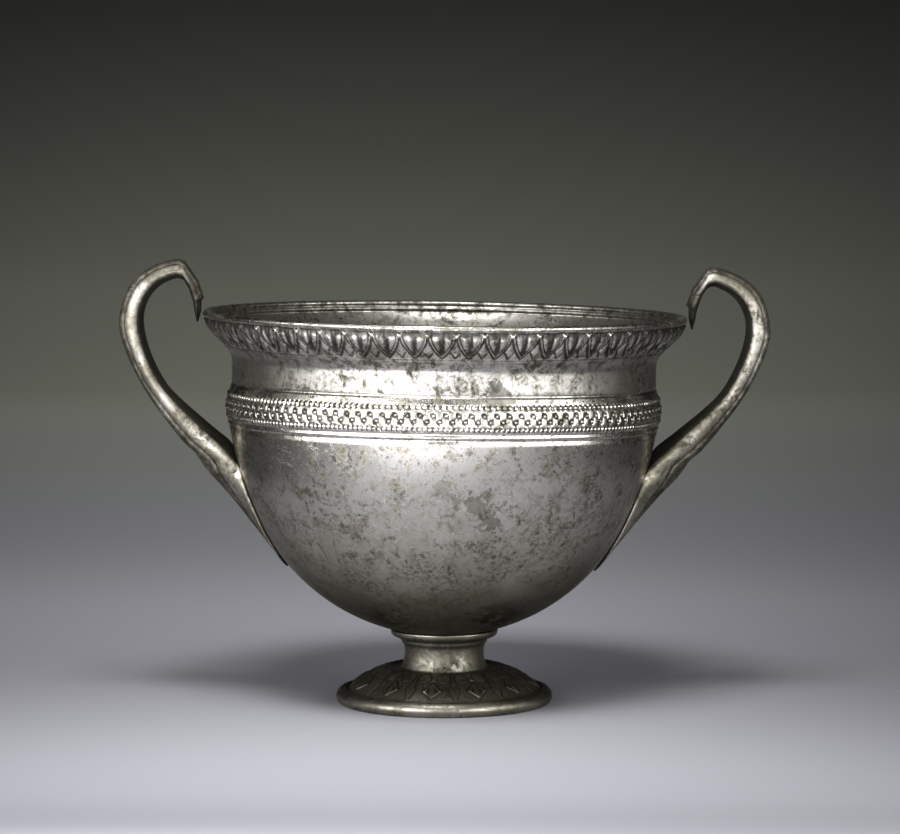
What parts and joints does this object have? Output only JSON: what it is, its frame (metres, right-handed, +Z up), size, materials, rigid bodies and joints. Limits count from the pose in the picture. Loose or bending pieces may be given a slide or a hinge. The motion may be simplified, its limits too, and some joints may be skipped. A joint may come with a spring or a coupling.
{
  "type": "silver drinking cup",
  "caption": "Two-handled silver drinking cup with a deep bowl, a leaf band under the lip, a beaded collar, a stemmed foot and looped handles.",
  "frame": {"origin": "centre of the foot's base, on the surface that the cup stands on", "axes": "+Z up along the foot, +X towards the right handle, +Y away from the side shown in the picture"},
  "size_m": [0.1884, 0.14, 0.1289],
  "materials": {
    "bowl_silver": "tarnished silver, satin, with grey-brown mottling",
    "foot_silver": "tarnished silver, polished edge, dark recesses",
    "handle_silver": "tarnished cast silver, finely pitted"
  },
  "bodies": {
    "root": {"bowl": "bowl_silver", "foot": "foot_silver", "handle_left": "handle_silver", "handle_right": "handle_silver"}
  },
  "joints": []
}
